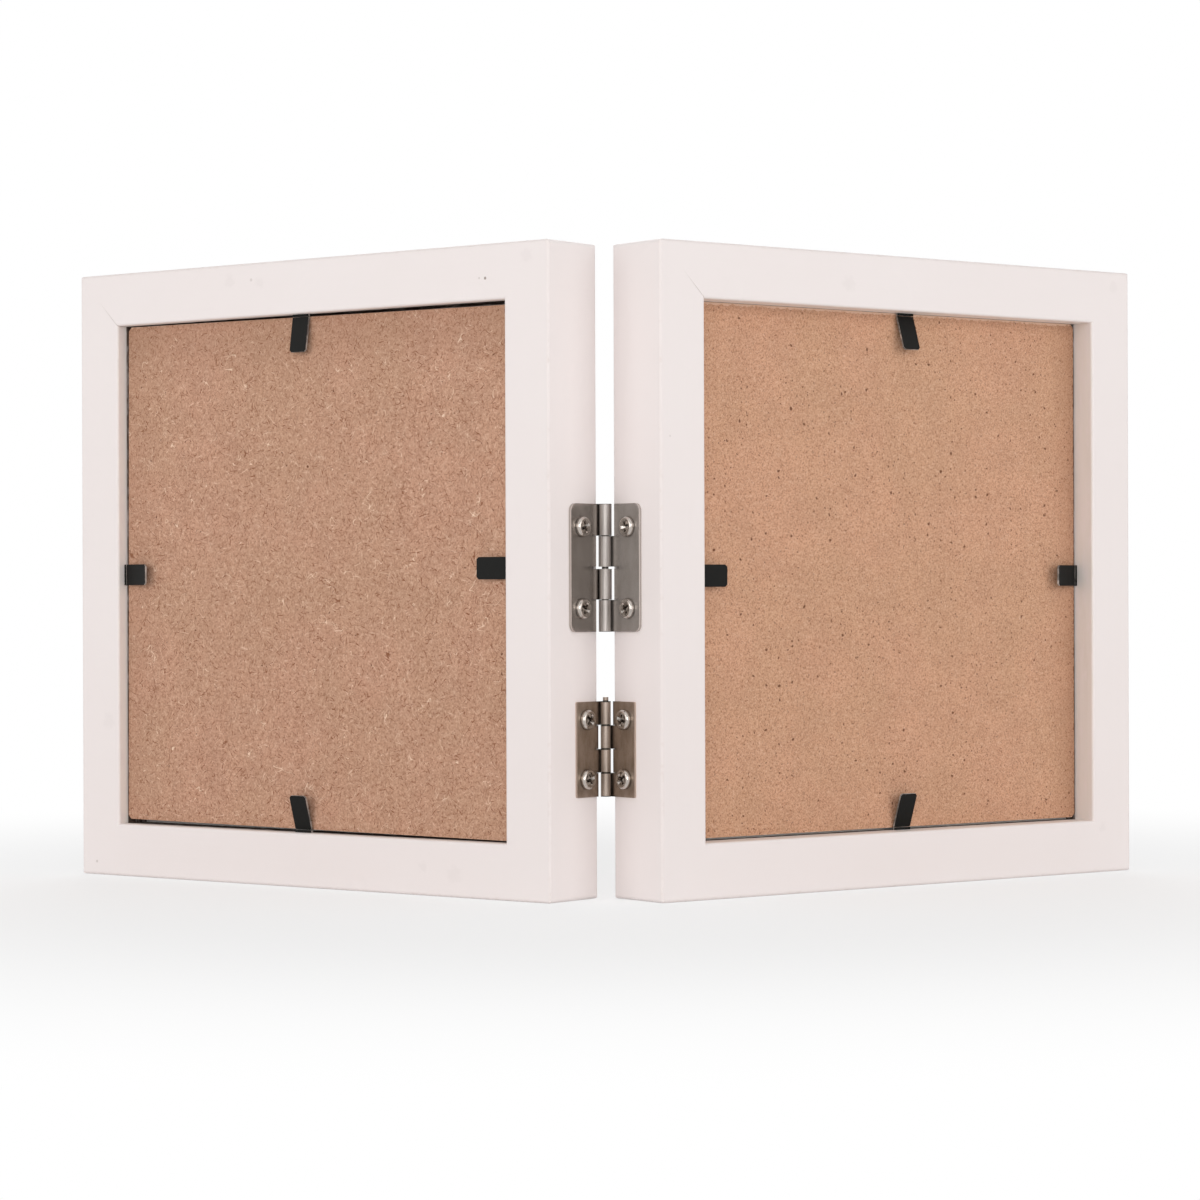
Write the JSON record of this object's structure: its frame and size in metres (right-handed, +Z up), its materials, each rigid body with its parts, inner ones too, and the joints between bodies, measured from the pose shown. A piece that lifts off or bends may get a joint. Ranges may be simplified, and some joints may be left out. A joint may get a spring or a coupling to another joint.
{
  "type": "hinged double photo frame",
  "caption": "Pair of square white mitred photo frames joined at one edge by butt hinges, standing open in a V, with fibreboard backs held by bendable tabs.",
  "frame": {"origin": "on the surface it stands on, at the middle of the open pair's footprint box", "axes": "+X across the pair from the left frame to the right frame as seen from behind, +Y the way the fronts face, +Z up"},
  "size_m": [0.2226, 0.0886, 0.127],
  "materials": {
    "white_paint": "satin white paint on wood",
    "left_fibreboard": "matte fibreboard",
    "right_fibreboard": "matte fibreboard",
    "photo_paper": "plain satin paper",
    "glass": "clear polished",
    "black_steel": "black spring steel",
    "nail_steel": "bare steel",
    "upper_hinge_steel": "dull nickel-plated",
    "lower_hinge_steel": "tarnished nickel-plated",
    "screw_nickel": "bright nickel-plated"
  },
  "bodies": {
    "left_frame": {"left_top_rail": "white_paint", "left_bottom_rail": "white_paint", "left_outer_stile": "white_paint", "left_hinge_stile": "white_paint", "left_corner_nails": "nail_steel", "left_tab_roots": "black_steel", "left_glass": "glass", "left_photo_sheet": "photo_paper", "left_backing_board": "left_fibreboard", "upper_hinge_left_leaf": "upper_hinge_steel", "upper_hinge_left_screws": "screw_nickel", "lower_hinge_left_leaf": "lower_hinge_steel", "lower_hinge_left_screws": "screw_nickel", "upper_hinge_pin": "upper_hinge_steel", "lower_hinge_pin": "lower_hinge_steel"},
    "right_frame": {"right_top_rail": "white_paint", "right_bottom_rail": "white_paint", "right_outer_stile": "white_paint", "right_hinge_stile": "white_paint", "right_corner_nails": "nail_steel", "right_tab_roots": "black_steel", "right_glass": "glass", "right_photo_sheet": "photo_paper", "right_backing_board": "right_fibreboard", "upper_hinge_right_leaf": "upper_hinge_steel", "upper_hinge_right_screws": "screw_nickel", "lower_hinge_right_leaf": "lower_hinge_steel", "lower_hinge_right_screws": "screw_nickel"},
    "left_bottom_tab": {"left_bottom_tab": "black_steel"},
    "left_outer_tab": {"left_outer_tab": "black_steel"},
    "left_top_tab": {"left_top_tab": "black_steel"},
    "left_hinge_tab": {"left_hinge_tab": "black_steel"},
    "right_bottom_tab": {"right_bottom_tab": "black_steel"},
    "right_outer_tab": {"right_outer_tab": "black_steel"},
    "right_top_tab": {"right_top_tab": "black_steel"},
    "right_hinge_tab": {"right_hinge_tab": "black_steel"}
  },
  "joints": [
    {"name": "fold", "type": "hinge", "parent": "left_frame", "child": "right_frame", "pos_m": [0, -0.03272, 0], "axis": [0, 0, 1], "range_deg": [-65, 105.7]},
    {"name": "left_bottom_tab_bend", "type": "hinge", "parent": "left_frame", "child": "left_bottom_tab", "pos_m": [-0.06121, -0.0033, 0.0118], "axis": [0.7944, -0.6074, 0], "range_deg": [-15.7, 64]},
    {"name": "left_outer_tab_bend", "type": "hinge", "parent": "left_frame", "child": "left_outer_tab", "pos_m": [-0.10093, 0.02707, 0.0635], "axis": [0, 0, -1], "range_deg": [-12.3, 67]},
    {"name": "left_top_tab_bend", "type": "hinge", "parent": "left_frame", "child": "left_top_tab", "pos_m": [-0.06145, -0.00311, 0.1152], "axis": [-0.7944, 0.6074, 0], "range_deg": [-8.2, 71]},
    {"name": "left_hinge_tab_bend", "type": "hinge", "parent": "left_frame", "child": "left_hinge_tab", "pos_m": [-0.01879, -0.03573, 0.0642], "axis": [0, 0, 1], "range_deg": [-8.2, 71]},
    {"name": "right_bottom_tab_bend", "type": "hinge", "parent": "right_frame", "child": "right_bottom_tab", "pos_m": [0.06007, -0.00065, 0.0118], "axis": [0.7944, 0.6074, 0], "range_deg": [-18.3, 61]},
    {"name": "right_outer_tab_bend", "type": "hinge", "parent": "right_frame", "child": "right_outer_tab", "pos_m": [0.09923, 0.0293, 0.0627], "axis": [0, 0, 1], "range_deg": [-17.4, 62]},
    {"name": "right_top_tab_bend", "type": "hinge", "parent": "right_frame", "child": "right_top_tab", "pos_m": [0.0611, 0.00014, 0.1152], "axis": [-0.7944, -0.6074, 0], "range_deg": [-17.4, 62]},
    {"name": "right_hinge_tab_bend", "type": "hinge", "parent": "right_frame", "child": "right_hinge_tab", "pos_m": [0.01709, -0.03351, 0.0626], "axis": [0, 0, -1], "range_deg": [-18.3, 61]}
  ]
}
